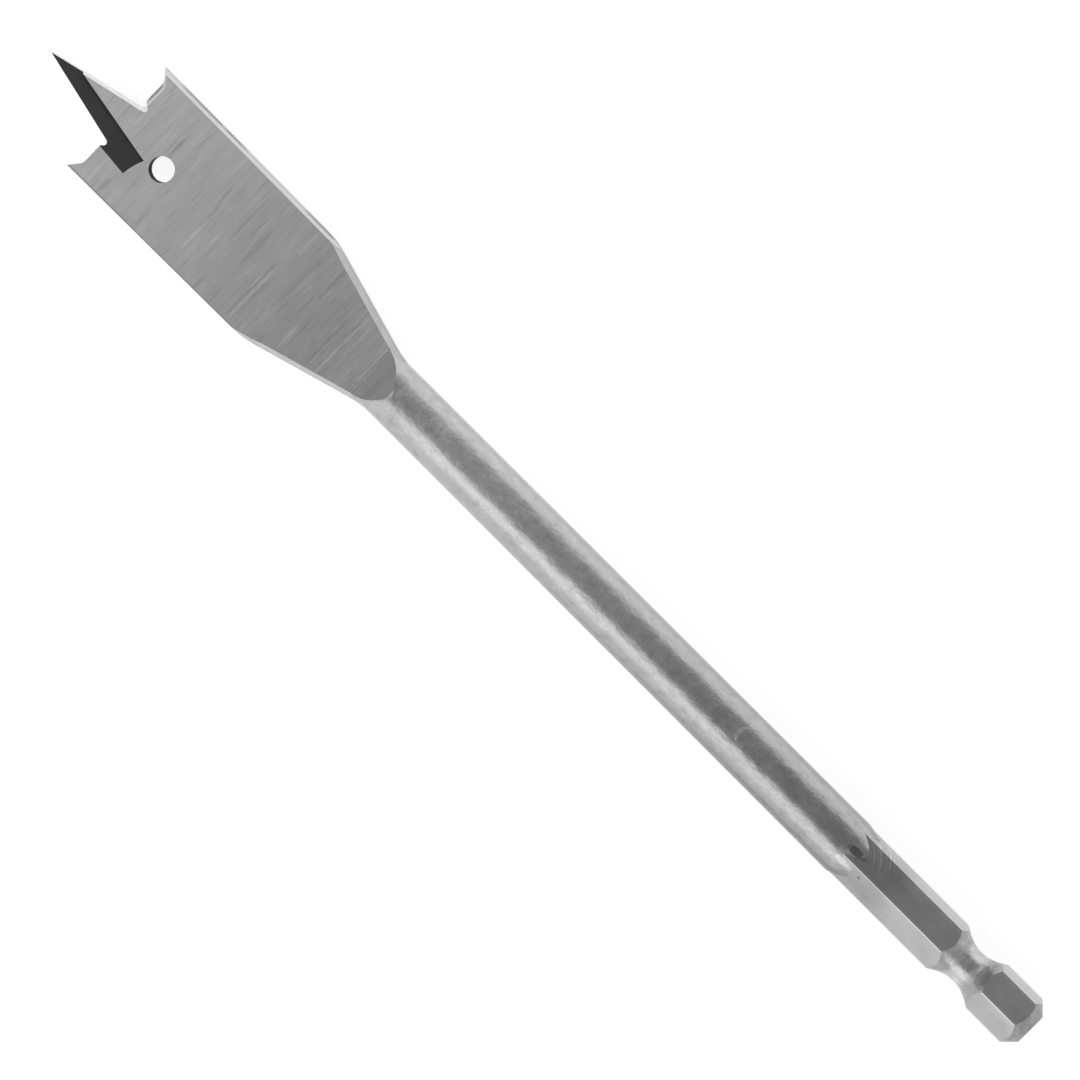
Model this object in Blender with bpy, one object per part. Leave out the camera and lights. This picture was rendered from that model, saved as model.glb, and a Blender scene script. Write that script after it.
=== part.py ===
"""Spade drill bit for wood: a 16 mm flat blade on a round rod, with a quarter inch hexagonal shank.

The bit is one forging, so it is one solid. Its frame: +X runs along the tool's axis from the shank's
end face, which holds the origin, to the tip; the blade's faces look to +Z and -Z; +Y is the half of the
blade whose cutting edges lie on the +Z face. The other half is the same shape turned half a turn about X,
so that the bit cuts when it turns clockwise as seen from the shank.
"""

import math

import bmesh
import bpy
from mathutils import Matrix, Vector

MM = 0.001

# Whole tool
LENGTH = 160.0 * MM  # shank end face to tip

# Hexagonal shank
HEX_ACROSS_FLATS = 6.35 * MM
HEX_CORNER_RADIUS = 0.30 * MM
HEX_LENGTH = 29.6 * MM  # shank end face to the full round of the rod
HEX_RUNOUT_ANGLE = math.radians(12.0)  # cone between the flats and the rod
HEX_TURN = math.radians(23.5)  # a flat's turn from the blade's face, about the axis
END_FACE_RADIUS = 2.0 * MM
END_CHAMFER_ANGLE = math.radians(45.0)

# Locking groove round the shank
GROOVE_FROM_END = 10.26 * MM
GROOVE_ARC_RADIUS = 4.9 * MM
NECK_DIAMETER = 4.70 * MM

# Rod, a little thicker at the shank
ROD_REAR_DIAMETER = 7.32 * MM
ROD_FRONT_DIAMETER = 7.20 * MM

# Blade
BLADE_WIDTH = 16.0 * MM  # across the outer corners, the size of the hole that the bit drills
BLADE_THICKNESS = 2.4 * MM
STRAIGHT_LENGTH = 26.95 * MM  # cutting edges to the start of the taper
TAPER_ANGLE = math.radians(16.0)
TAPER_START_FILLET = 21.0 * MM
TAPER_END_FILLET = 12.0 * MM
FORGING_ALLOWANCE = 0.10 * MM  # stock on each side that grinding takes off
EDGE_CHAMFER_WIDTH = 0.62 * MM  # forged bevel along the taper, across the face
EDGE_CHAMFER_DEPTH = 0.62 * MM
RAMP_FROM_TAPER = 13.3 * MM  # start of the taper to where the face starts to climb to the rod
RAMP_LENGTH = 4.7 * MM

# Ground sides
SIDE_LAND = 0.7 * MM
SIDE_RELIEF_ANGLE = math.radians(12.0)
BACK_TAPER_ANGLE = math.radians(0.40)

# Centre point, shoulders and spurs, ground in one pass on each half
POINT_LENGTH = 11.7 * MM  # tip to the cutting edges
POINT_HALF_ANGLE = math.radians(12.5)
FLANK_RELIEF_ANGLE = math.radians(6.0)
SHOULDER_RELIEF_ANGLE = math.radians(19.0)
ROOT_RADIUS = 0.42 * MM
ROOT_DEPTH = 0.33 * MM  # below the cutting edge
SPUR_HEIGHT = 1.20 * MM
SPUR_SLOPE_ANGLE = math.radians(39.0)  # from the cutting edge
SPUR_FILLET = 1.3 * MM

# Gash ground along each cutting side of the point
GASH_RAKE_ANGLE = math.radians(14.0)
GASH_WALL_ANGLE = math.radians(10.2)  # inner wall, from the axis
GASH_WALL_CROSSING = 9.35 * MM  # tip to where the inner wall crosses the axis
GASH_RIM_ANGLE = math.radians(5.0)  # outer rim, from the axis
GASH_RIM_OFFSET = 3.71 * MM  # axis to the outer rim, at the cutting edge
GASH_END = 4.2 * MM  # cutting edge to the gash's end, at its rim
GASH_END_SLANT = 0.72 * MM  # how much further the end reaches at the inner wall
GASH_END_BOW = 0.25 * MM

# Hole through the blade
HOLE_DIAMETER = 3.1 * MM
HOLE_FROM_EDGE = 7.1 * MM  # cutting edge to the hole's centre
HOLE_OFFSET = 0.55 * MM  # off the axis

# Working clearances of the shapes that are joined or cut away
OVERRUN = 1.0 * MM
SEAT = 0.05 * MM  # how far one shape sinks into the next where both would share a face
LEAST_BEVEL = 0.02  # share of the bevel that keeps the blank's corners apart where it fades out
MERGE_DISTANCE = 0.00001 * MM

# Steps on round stretches, and the angle from which an edge is shaded sharp
ROUND_STEPS = 72
GROOVE_STEPS = 48
CORNER_STEPS = 4
FILLET_STEPS = 6
RAMP_STEPS = 12
HOLE_STEPS = 48
SHARP_ANGLE = math.radians(25.0)

# Places that follow from the sizes
HALF_THICKNESS = BLADE_THICKNESS / 2
HALF_WIDTH = BLADE_WIDTH / 2
EDGE_X = LENGTH - POINT_LENGTH
TAPER_X = EDGE_X - STRAIGHT_LENGTH
RAMP_X = TAPER_X - RAMP_FROM_TAPER
ROD_REAR_RADIUS = ROD_REAR_DIAMETER / 2
ROD_FRONT_RADIUS = ROD_FRONT_DIAMETER / 2
FLAT_RADIUS = HEX_ACROSS_FLATS / 2

STEEL_COLOUR = (0.36, 0.36, 0.36, 1.0)
STEEL_ROUGHNESS = 0.35


def clear_scene():
    for obj in list(bpy.data.objects):
        bpy.data.objects.remove(obj)


def steel():
    material = bpy.data.materials.new("ground_steel")
    material.use_nodes = True
    shader = material.node_tree.nodes["Principled BSDF"]
    shader.inputs["Base Color"].default_value = STEEL_COLOUR
    shader.inputs["Metallic"].default_value = 1.0
    shader.inputs["Roughness"].default_value = STEEL_ROUGHNESS
    return material


def add_object(name, bm):
    """An object from bm, closed, with its faces pointing out."""
    bmesh.ops.remove_doubles(bm, verts=bm.verts, dist=MERGE_DISTANCE)
    bmesh.ops.recalc_face_normals(bm, faces=bm.faces)
    mesh = bpy.data.meshes.new(name)
    bm.to_mesh(mesh)
    bm.free()
    mesh.shade_smooth()
    mesh.set_sharp_from_angle(angle=SHARP_ANGLE)
    obj = bpy.data.objects.new(name, mesh)
    bpy.context.scene.collection.objects.link(obj)
    return obj


def as_tool(obj):
    """Keeps obj out of the model: it only cuts or adds to another."""
    obj.hide_render = True
    obj.display_type = "WIRE"
    return obj


def combine(target, operation, tool):
    modifier = target.modifiers.new(tool.name, "BOOLEAN")
    modifier.operation = operation
    modifier.solver = "EXACT"
    modifier.object = as_tool(tool)


def arc(centre, radius, start, end, steps):
    """Points on an arc in a plane, both ends included."""
    angles = (start + (end - start) * i / steps for i in range(steps + 1))
    return [(centre[0] + radius * math.cos(a), centre[1] + radius * math.sin(a)) for a in angles]


def filleted(before, corner, after, radius, steps):
    """Points that round the corner between two straight stretches."""
    corner = Vector(corner)
    to_before = (Vector(before) - corner).normalized()
    to_after = (Vector(after) - corner).normalized()
    half = to_before.angle(to_after) / 2
    centre = corner + (to_before + to_after).normalized() * radius / math.sin(half)
    first = corner + to_before * radius / math.tan(half) - centre
    last = corner + to_after * radius / math.tan(half) - centre
    turn = first.angle_signed(last)
    start = math.atan2(first.y, first.x)
    return arc(centre, radius, start, start - turn, steps)


def revolved(name, profile):
    """A body turned about the X axis from (x, radius) points, with one of its facets facing straight down."""
    bm = bmesh.new()
    first = Matrix.Rotation(math.pi / ROUND_STEPS, 3, "X")
    verts = [bm.verts.new(first @ Vector((x, 0.0, radius))) for x, radius in profile]
    closed = profile[0][1] > 0 and profile[-1][1] > 0
    pairs = list(zip(verts, verts[1:])) + ([(verts[-1], verts[0])] if closed else [])
    edges = [bm.edges.new(pair) for pair in pairs]
    bmesh.ops.spin(
        bm,
        geom=verts + edges,
        axis=(1.0, 0.0, 0.0),
        cent=(0.0, 0.0, 0.0),
        angle=math.tau,
        steps=ROUND_STEPS,
        use_merge=True,
    )
    return add_object(name, bm)


def lofted(name, sections):
    """A closed body through loops of points, each loop with as many points as the first."""
    bm = bmesh.new()
    loops = [[bm.verts.new(point) for point in section] for section in sections]
    bm.faces.new(loops[0])
    bm.faces.new(reversed(loops[-1]))
    for here, there in zip(loops, loops[1:]):
        for i in range(len(here)):
            bm.faces.new((here[i - 1], here[i], there[i], there[i - 1]))
    return add_object(name, bm)


def other_half(obj):
    """Turns obj's mesh half a turn about the axis, onto the blade's other half."""
    obj.data.transform(Matrix.Rotation(math.pi, 4, "X"))
    return obj


def hexagon(x):
    """The shank's section at x: six flats with rounded corners."""
    points = []
    to_centre = (FLAT_RADIUS - HEX_CORNER_RADIUS) / math.cos(math.pi / 6)
    for corner in range(6):
        middle = HEX_TURN + math.pi / 6 + corner * math.pi / 3
        centre = (to_centre * math.cos(middle), to_centre * math.sin(middle))
        points += arc(centre, HEX_CORNER_RADIUS, middle - math.pi / 6, middle + math.pi / 6, CORNER_STEPS)
    # The turn is measured from +Z towards -Y, the side of the blade that is relieved on this face.
    return [(x, -across, up) for up, across in points]


def hex_shank():
    """The hexagon with its end chamfer and locking groove. It ends inside the rod."""
    shank = lofted("hex_shank", [hexagon(0.0), hexagon(HEX_LENGTH + OVERRUN)])
    reach = HEX_ACROSS_FLATS  # outside the corners
    past_end = (reach - END_FACE_RADIUS) * math.tan(END_CHAMFER_ANGLE)
    back = OVERRUN * math.tan(END_CHAMFER_ANGLE)
    chamfer = [
        (past_end, reach),
        (-back, END_FACE_RADIUS - OVERRUN),
        (-back, reach),
    ]
    combine(shank, "DIFFERENCE", revolved("end_chamfer_cut", chamfer))
    centre = (GROOVE_FROM_END, NECK_DIAMETER / 2 + GROOVE_ARC_RADIUS)
    ring = arc(centre, GROOVE_ARC_RADIUS, 0.0, math.tau, GROOVE_STEPS)[:-1]
    combine(shank, "DIFFERENCE", revolved("groove_cut", ring))
    return shank


def ramp_points():
    """(x, z) from the blade's face up to the rod, an S that starts and ends level."""
    low = HALF_THICKNESS - SEAT
    high = ROD_FRONT_RADIUS + SEAT
    points = []
    for i in range(RAMP_STEPS + 1):
        share = i / RAMP_STEPS
        climb = share * share * (3.0 - 2.0 * share)
        points.append((RAMP_X - share * RAMP_LENGTH, low + (high - low) * climb))
    return points


def ramp_cut(name):
    """What forging takes off one side of the rod where it flattens into the blade."""
    curve = ramp_points()
    outline = [(RAMP_X + RAMP_LENGTH, curve[0][1]), *curve, (curve[-1][0], ROD_REAR_DIAMETER)]
    outline.append((RAMP_X + RAMP_LENGTH, ROD_REAR_DIAMETER))
    reach = ROD_REAR_DIAMETER
    return lofted(name, [[(x, y, z) for x, z in outline] for y in (-reach, reach)])


def rod():
    """The round rod. A cone leads it into the hexagon, and it flattens into the blade."""
    nose_radius = FLAT_RADIUS - SEAT
    cone = (ROD_REAR_RADIUS - nose_radius) / math.tan(HEX_RUNOUT_ANGLE)
    front_x = RAMP_X + RAMP_LENGTH / 2
    profile = [
        (HEX_LENGTH - cone, 0.0),
        (HEX_LENGTH - cone, nose_radius),
        (HEX_LENGTH, ROD_REAR_RADIUS),
        (RAMP_X - RAMP_LENGTH, ROD_FRONT_RADIUS),
        (front_x, ROD_FRONT_RADIUS),
        (front_x, 0.0),
    ]
    body = revolved("rod", profile)
    combine(body, "DIFFERENCE", ramp_cut("ramp_cut_top"))
    combine(body, "DIFFERENCE", other_half(ramp_cut("ramp_cut_bottom")))
    return body


def blade_outline():
    """(x, half width, share of the full bevel) of the forged blank, from the rod to beyond the tip.

    The bevel fades out where the taper turns into the straight sides.
    """
    slope = math.tan(TAPER_ANGLE)
    narrow = ROD_FRONT_RADIUS - 2 * SEAT
    wide = HALF_WIDTH + FORGING_ALLOWANCE
    foot = (TAPER_X - (HALF_WIDTH - narrow) / slope, narrow)
    rear = (foot[0] - TAPER_END_FILLET * math.tan(TAPER_ANGLE / 2) - OVERRUN, narrow)
    head = (TAPER_X + FORGING_ALLOWANCE / slope, wide)
    tip = (LENGTH + OVERRUN, wide)
    outline = [(*point, 1.0) for point in (rear, *filleted(rear, foot, head, TAPER_END_FILLET, FILLET_STEPS))]
    for i, point in enumerate(filleted(foot, head, tip, TAPER_START_FILLET, FILLET_STEPS)):
        outline.append((*point, 1.0 - i / FILLET_STEPS))
    return [*outline, (*tip, 0.0)]


def blade_blank():
    """The forged blade: a flat plate, bevelled along the edges of its taper."""
    sections = []
    for x, half, share in blade_outline():
        bevel = max(share, LEAST_BEVEL)
        flat = half - EDGE_CHAMFER_WIDTH * bevel
        wall = HALF_THICKNESS - EDGE_CHAMFER_DEPTH * bevel
        quarter = [(half, wall), (flat, HALF_THICKNESS)]
        upper = quarter + [(-y, z) for y, z in reversed(quarter)]
        sections.append([(x, y, z) for y, z in upper + [(-y, -z) for y, z in upper]])
    return lofted("blade_blank", sections)


def side_cut(name):
    """What grinding takes off one side: a land behind the cutting corner, then a relieved stretch."""
    front_x = LENGTH + OVERRUN
    rear_x = TAPER_X - STRAIGHT_LENGTH / 2
    top = HALF_THICKNESS + OVERRUN
    land = HALF_THICKNESS - SIDE_LAND
    relief = (land + top) * math.tan(SIDE_RELIEF_ANGLE)
    sections = []
    for x in (rear_x, front_x):
        y = HALF_WIDTH - (EDGE_X + SPUR_HEIGHT - x) * math.tan(BACK_TAPER_ANGLE)
        out = HALF_WIDTH + FORGING_ALLOWANCE + OVERRUN
        loop = [(y, top), (y, land), (y - relief, -top), (out, -top), (out, top)]
        sections.append([(x, across, up) for across, up in loop])
    return lofted(name, sections)


def end_outline():
    """(x, y) of the metal's edge on the leading face of one half: point, root, cutting edge and spur."""
    slope = math.tan(POINT_HALF_ANGLE)
    tip_y = HALF_THICKNESS * math.tan(FLANK_RELIEF_ANGLE)
    centre_x = EDGE_X - ROOT_DEPTH + ROOT_RADIUS
    centre_y = tip_y + (LENGTH - centre_x) * slope + ROOT_RADIUS / math.cos(POINT_HALF_ANGLE)
    meets_edge = math.acos((EDGE_X - centre_x) / ROOT_RADIUS)
    root = arc(
        (centre_x, centre_y),
        ROOT_RADIUS,
        math.pi + math.pi / 2 - POINT_HALF_ANGLE,
        meets_edge,
        2 * FILLET_STEPS,
    )
    spur_slope = math.tan(SPUR_SLOPE_ANGLE)
    inner = (EDGE_X, centre_y)
    foot = (EDGE_X, HALF_WIDTH - SPUR_HEIGHT / spur_slope)
    outer = (EDGE_X + SPUR_HEIGHT + OVERRUN * spur_slope, HALF_WIDTH + OVERRUN)
    before_tip = (LENGTH + 2 * OVERRUN, tip_y - 2 * OVERRUN * slope)
    return [before_tip, *root, *filleted(inner, foot, outer, SPUR_FILLET, FILLET_STEPS), outer]


def end_cut(name):
    """The shape of the wheel that grinds the point's flank, root, cutting edge and spur of one half.

    It passes through the blade at a slant, which gives every edge its relief.
    """
    sink = math.tan(SHOULDER_RELIEF_ANGLE)
    inward = math.tan(FLANK_RELIEF_ANGLE) - math.tan(POINT_HALF_ANGLE) * sink
    edge = end_outline()
    beyond = LENGTH + 2 * OVERRUN
    out = HALF_WIDTH + FORGING_ALLOWANCE + 2 * OVERRUN
    outline = edge + [(edge[-1][0], out), (beyond, out)]
    sections = []
    for z in (HALF_THICKNESS + OVERRUN, -HALF_THICKNESS - OVERRUN):
        depth = HALF_THICKNESS - z
        sections.append([(x - depth * sink, y - depth * inward, z) for x, y in outline])
    # The shape slides towards the shank as it sinks, so its front end is drawn out past the tip.
    return lofted(name, sections)


def gash_outline():
    """(x, y) of the gash on the leading face, from its inner wall round its end to outside its rim."""
    wall_slope = math.tan(GASH_WALL_ANGLE)
    rim_slope = math.tan(GASH_RIM_ANGLE)
    front_x = LENGTH + OVERRUN
    end_x = EDGE_X - GASH_END
    wall_end_x = end_x - GASH_END_SLANT
    wall_x = LENGTH - GASH_WALL_CROSSING

    def on_wall(x):
        return (x, (wall_x - x) * wall_slope)

    def outside_rim(x):
        return (x, GASH_RIM_OFFSET + (EDGE_X - x) * rim_slope + OVERRUN)

    start = Vector(on_wall(wall_end_x))
    stop = Vector(outside_rim(end_x))
    bow = Vector((GASH_END_BOW, 0.0))
    end = []
    for i in range(FILLET_STEPS + 1):
        share = i / FILLET_STEPS
        end.append(tuple(start.lerp(stop, share) + bow * 4.0 * share * (1.0 - share)))
    return [on_wall(front_x), *end, outside_rim(front_x)]


def gash_cut(name):
    """The gash: its floor starts at the rim and falls towards the inner wall at the rake angle."""
    rim_slope = math.tan(GASH_RIM_ANGLE)
    outline = gash_outline()
    top = HALF_THICKNESS + 2 * OVERRUN * math.tan(GASH_RAKE_ANGLE)
    floor = []
    for x, y in outline:
        rim_y = GASH_RIM_OFFSET + (EDGE_X - x) * rim_slope
        floor.append((x, y, HALF_THICKNESS - (rim_y - y) * math.tan(GASH_RAKE_ANGLE)))
    return lofted(name, [[(x, y, top) for x, y in outline], floor])


def hole_cut():
    centre = (EDGE_X - HOLE_FROM_EDGE, HOLE_OFFSET)
    reach = HALF_THICKNESS + OVERRUN
    circle = arc(centre, HOLE_DIAMETER / 2, 0.0, math.tau, HOLE_STEPS)[:-1]
    return lofted("hole_cut", [[(x, y, z) for x, y in circle] for z in (-reach, reach)])


def spade_bit():
    bit = rod()
    bit.name = "spade_bit"
    bit.data.materials.append(steel())
    combine(bit, "UNION", blade_blank())
    combine(bit, "UNION", hex_shank())
    for name, cut in (("side_cut", side_cut), ("end_cut", end_cut), ("gash_cut", gash_cut)):
        combine(bit, "DIFFERENCE", cut(name + "_front"))
        combine(bit, "DIFFERENCE", other_half(cut(name + "_back")))
    combine(bit, "DIFFERENCE", hole_cut())


clear_scene()
spade_bit()
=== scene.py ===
"""The look of the spade drill bit: its finished surface, a plain white stage, soft light and the camera.

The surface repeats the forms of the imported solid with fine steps, smooth normals on its round stretches
and a finish of its own for every way that the steel was worked. Lengths are in metres, in the frame of
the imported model. Only the marks and shades of the steels are in millimetres.
"""

import math

import bmesh
import bpy
from mathutils import Matrix, Vector

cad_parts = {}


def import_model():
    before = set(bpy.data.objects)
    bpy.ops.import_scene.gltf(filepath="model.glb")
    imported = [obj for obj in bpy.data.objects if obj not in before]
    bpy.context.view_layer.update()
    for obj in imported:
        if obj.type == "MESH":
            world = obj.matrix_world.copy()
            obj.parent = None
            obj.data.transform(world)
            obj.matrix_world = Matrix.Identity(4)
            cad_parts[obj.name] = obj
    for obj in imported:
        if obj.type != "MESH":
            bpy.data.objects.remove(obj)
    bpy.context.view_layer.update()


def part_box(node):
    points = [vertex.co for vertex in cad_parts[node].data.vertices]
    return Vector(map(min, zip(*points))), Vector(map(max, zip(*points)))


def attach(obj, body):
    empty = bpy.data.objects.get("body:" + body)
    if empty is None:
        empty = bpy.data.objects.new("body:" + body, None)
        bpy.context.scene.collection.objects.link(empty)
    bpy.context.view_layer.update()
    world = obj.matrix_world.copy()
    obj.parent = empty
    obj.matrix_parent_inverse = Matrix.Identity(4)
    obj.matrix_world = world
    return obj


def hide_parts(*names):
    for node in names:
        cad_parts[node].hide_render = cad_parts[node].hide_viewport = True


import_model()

MM = 0.001

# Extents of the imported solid
LOW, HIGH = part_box("spade_bit")
LENGTH = HIGH[0]
HALF_WIDTH = HIGH[1]
ROD_REAR_RADIUS = HIGH[2]
FLOOR_Z = LOW[2]

# Shank
FLAT_RADIUS = 3.175 * MM
HEX_CORNER_RADIUS = 0.30 * MM
HEX_LENGTH = 29.6 * MM
HEX_RUNOUT_ANGLE = math.radians(12.0)
HEX_TURN = math.radians(23.5)
FLAT_CROWN = math.radians(5.0)
END_FACE_RADIUS = 2.0 * MM
END_CHAMFER_ANGLE = math.radians(45.0)
GROOVE_FROM_END = 10.26 * MM
GROOVE_ARC_RADIUS = 4.9 * MM
NECK_RADIUS = 2.35 * MM

# Rod and blade
ROD_FRONT_RADIUS = 3.6 * MM
HALF_THICKNESS = 1.2 * MM
STRAIGHT_LENGTH = 26.95 * MM
TAPER_ANGLE = math.radians(16.0)
TAPER_START_FILLET = 21.0 * MM
TAPER_END_FILLET = 12.0 * MM
FORGING_ALLOWANCE = 0.10 * MM
EDGE_CHAMFER_WIDTH = 0.62 * MM
EDGE_CHAMFER_DEPTH = 0.62 * MM
RAMP_FROM_TAPER = 13.3 * MM
RAMP_LENGTH = 4.7 * MM
SIDE_LAND = 0.7 * MM
SIDE_RELIEF_ANGLE = math.radians(12.0)
BACK_TAPER_ANGLE = math.radians(0.40)

# Point, shoulders and spurs
POINT_LENGTH = 11.7 * MM
POINT_HALF_ANGLE = math.radians(12.5)
FLANK_RELIEF_ANGLE = math.radians(6.0)
SHOULDER_RELIEF_ANGLE = math.radians(19.0)
ROOT_RADIUS = 0.42 * MM
ROOT_DEPTH = 0.33 * MM
SPUR_HEIGHT = 1.20 * MM
SPUR_SLOPE_ANGLE = math.radians(39.0)
SPUR_FILLET = 1.3 * MM
SHOULDER_FROM_AXIS = 3.3 * MM

# Gashes and hole
GASH_RAKE_ANGLE = math.radians(14.0)
GASH_WALL_ANGLE = math.radians(10.2)
GASH_WALL_CROSSING = 9.35 * MM
GASH_RIM_ANGLE = math.radians(5.0)
GASH_RIM_OFFSET = 3.71 * MM
GASH_END = 4.2 * MM
GASH_END_SLANT = 0.72 * MM
GASH_END_BOW = 0.25 * MM
HOLE_RADIUS = 1.55 * MM
HOLE_FROM_EDGE = 7.1 * MM
HOLE_OFFSET = 0.55 * MM

# A nick across the rod: a shallow crescent along an arc round a centre
NICK_CENTRE = Vector((46.60 * MM, -1.05 * MM))
NICK_RADIUS = 1.35 * MM
NICK_WIDTH = 0.70 * MM
NICK_END_WIDTH = 0.25 * MM
NICK_DEPTH = 0.05 * MM
NICK_HALF_ANGLE = math.radians(48.0)

# From here to the overlaps of the shapes, lengths are in millimetres

# Grinding lines that stand out on the blade: x, y at both ends, width and tone factor
LINES = (
    (141.6, -4.6, -1.0, 0.25, 0.84),
    (147.2, -2.2, 0.6, 0.25, 1.14),
    (133.4, -1.4, 0.8, 0.30, 0.84),
    (133.2, 1.2, 5.2, 0.25, 1.16),
    (139.0, 4.6, 7.2, 0.25, 0.88),
    (129.9, -6.9, 0.4, 0.30, 0.87),
    (127.0, -3.4, 1.9, 0.35, 0.89),
    (124.1, -0.8, 7.0, 0.25, 0.84),
    (123.7, -0.8, 7.0, 0.25, 1.17),
    (123.0, -7.2, -3.6, 0.35, 1.13),
    (123.0, -1.8, 0.0, 0.50, 1.08),
    (120.7, -7.2, 1.6, 0.30, 0.88),
    (117.7, -6.2, -1.6, 0.40, 0.84),
    (117.2, 2.0, 5.6, 0.40, 1.12),
    (113.9, -4.8, 0.2, 0.25, 1.16),
    (113.5, -2.2, 4.6, 0.22, 0.80),
    (113.2, 1.2, 4.4, 0.20, 1.10),
    (112.0, -4.4, 4.4, 0.22, 1.25),
)

# Spots on the upper side: centre and half size along x and y, and tone factor. A painted dark reflection
# and a painted highlight lie across the seam of rod and hexagon, and each of the two shows its own part of
# them
ROD_PAINTED_DARK_SPOT = ((28.6, -0.73), (1.0, 0.50), 0.40)
ROD_PAINTED_HIGHLIGHT = ((28.7, 1.05), (1.3, 0.45), 1.40)
HEX_PAINTED_DARK_SPOT = ((28.4, -0.73), (1.1, 0.50), 0.45)
HEX_PAINTED_HIGHLIGHT = ((28.7, 1.05), (1.3, 0.45), 1.35)
HEX_PIT = ((26.3, 1.21), (0.20, 0.17), 0.50)
# On the groove: a painted highlight and a painted dark reflection
GROOVE_PAINTED_HIGHLIGHT = ((12.2, -0.5), (1.0, 1.5), 1.40)
GROOVE_PAINTED_DARK_SPOT = ((7.9, -0.9), (1.0, 1.5), 0.60)

# Slopes of painted light and shade: where the tone factor is reached, where it has faded to 1, and the
# factor.
# The rims go by the distance from the blade's side, the next three by x from the ramp's foot,
# and the last two by x
LEADING_RIM_SHADE = (0.16, 0.34, 0.72)
TRAILING_RIM_SHADE = (0.45, 0.70, 0.94)
FOOT_PAINTED_LIGHT = (0.0, 6.4, 1.17)
RAMP_MIDDLE_SHADE = (-2.05, -0.60, 0.60)
RAMP_TOP_PAINTED_LIGHT = (-3.65, -2.65, 1.40)
ROD_REAR = (30.0, 100.0, 0.87)
HEX_FRONT_SHADE = (24.0, 19.5, 0.80)

# A painted line of shade in the ramp's foot: its ends along x, from the foot
FOOT_PAINTED_SHADE = (-0.54, -0.22)

# The painted shade on the rod's sides: the stretch along x over which it grows fainter, the heights up to
# which it is full and has gone, and how much lower those heights are at -Y
ROD_SIDE_SHADE_FADE = (40.0, 85.0)
ROD_SIDE_SHADE_HEIGHT = (2.0, 3.1)
ROD_SIDE_SHADE_DROP = 1.2

# The painted shade on the rod's top before the ramp: where it starts and is full, by x and by height
ROD_TOP_SHADE_X = (97.0, 103.0)
ROD_TOP_SHADE_HEIGHT = (2.8, 3.3)

# The painted highlight on the hexagon's corners, by distance from the axis, and the marks of the cutter at
# one run-out: the centre of their arcs, their ends along x and where they fade out across
CORNER_HIGHLIGHT = (3.56, 3.60)
CUTTER_CENTRE = (31.6, 3.1, 2.6)
CUTTER_MARKS_X = (24.4, 27.6)
CUTTER_MARKS_Y = (-1.5, -0.6)

# The groove's rough flanks: distances from the neck where they start and are full, and the span over
# which those wander
FLANK = (0.7, 1.9)
FLANK_WANDER = 2.4

# The dark land on the sides: the heights where it starts and is full, and the stretches along x where it
# is darker still. Heights here and below go from the blade's middle towards the face with the cutting edge
LAND_HEIGHT = (-0.25, 0.15)
DARK_STRETCHES = ((139.9, 146.2), (136.0, 139.3), (121.5, 125.8))

# The painted shade on the shoulder: heights, with a noise of about 0.5 added, where it starts and is full,
# and its ends by distance from the axis. Then the distances between which the tone changes to the spur's
SHOULDER_SHADE_HEIGHT = (0.20, 0.80)
SHOULDER_SHADE_ACROSS = (3.9, 6.4)
SPUR_ACROSS = (6.2, 6.9)

# Overlaps of the shapes that are joined or cut away, the least share of the bevel that the blank keeps
# and the least share of a normal along an axis that counts as facing that way
OVERRUN = 1.0 * MM
SEAT = 0.01 * MM
BLANK_SEAT = 0.1 * MM
MERGE_DISTANCE = 0.00001 * MM
LEAST_BEVEL = 0.02
FACING = 0.999

# Steps on round stretches
ROUND_STEPS = 216
GROOVE_STEPS = 48
CORNER_STEPS = 8
FILLET_STEPS = 16
RAMP_STEPS = 40
HOLE_STEPS = 96

# Places that follow from the sizes
EDGE_X = LENGTH - POINT_LENGTH
TAPER_X = EDGE_X - STRAIGHT_LENGTH
RAMP_X = TAPER_X - RAMP_FROM_TAPER
HOLE_X = EDGE_X - HOLE_FROM_EDGE

# Camera: the photograph looks down on the bit, a little from -Y and a little from the shank's end, with
# the tip in its upper left corner
CAMERA_DISTANCE = 1.3
CAMERA_TO_SIDE = math.radians(8.0)
CAMERA_TO_SHANK = math.radians(3.2)
CAMERA_AIM = Vector((79.9 * MM, 0.06 * MM, 0.0))
HALF_FIELD = 62.37 * MM
AXIS_IN_PICTURE = math.radians(135.0)

# Floor
WHITE = (1.0, 1.0, 1.0, 1.0)
STAGE_SIZE = 6.0
FLOOR_TONE = 0.42
FLOOR_GLOW = 0.81

# Light of the surroundings, by its direction round the bit's axis: degrees from straight up towards +Y.
# The panel and what lies low below it are at +Y, and the far side is at -Y
OVERHEAD_LEVEL = 0.20
PANEL_START, PANEL_FULL, PANEL_LEVEL = 10.0, 40.0, 1.40
LOW_START, LOW_FULL, LOW_LEVEL = 50.0, 82.0, 0.95
FAR_START, FAR_FULL, FAR_LEVEL = -51.0, -82.0, 1.05

# Towards the bit's two ends the sides fade and the overhead light rises, by the direction's share along x.
# The horizon goes by the direction's height
SIDE_FULL, SIDE_END, SIDE_SHARE = 0.25, 0.60, 0.50
ENDS_START, ENDS_FULL, ENDS_LEVEL = 0.30, 0.75, 0.45
HORIZON_FULL, HORIZON_END, HORIZON_LEVEL = 0.03, 0.10, 1.0

# A soft lamp over the bit: two corners, then start, end and level of its stretches along x. It is dim
# above the shank, darkest above the rod's rear end, even above the rod's front and brightest above the
# tip, and it fades out beyond the tip
LAMP_LOW = Vector((-0.06, -0.29, 0.16))
LAMP_HIGH = Vector((0.24, 0.075, 0.16))
LAMP_SHANK = (0.022, 0.034, 0.14)
LAMP_ROD = (0.03, 0.082, 0.21)
LAMP_BLADE = (0.117, 0.165, 0.90)
LAMP_FADE = (0.20, 0.24)


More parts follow.
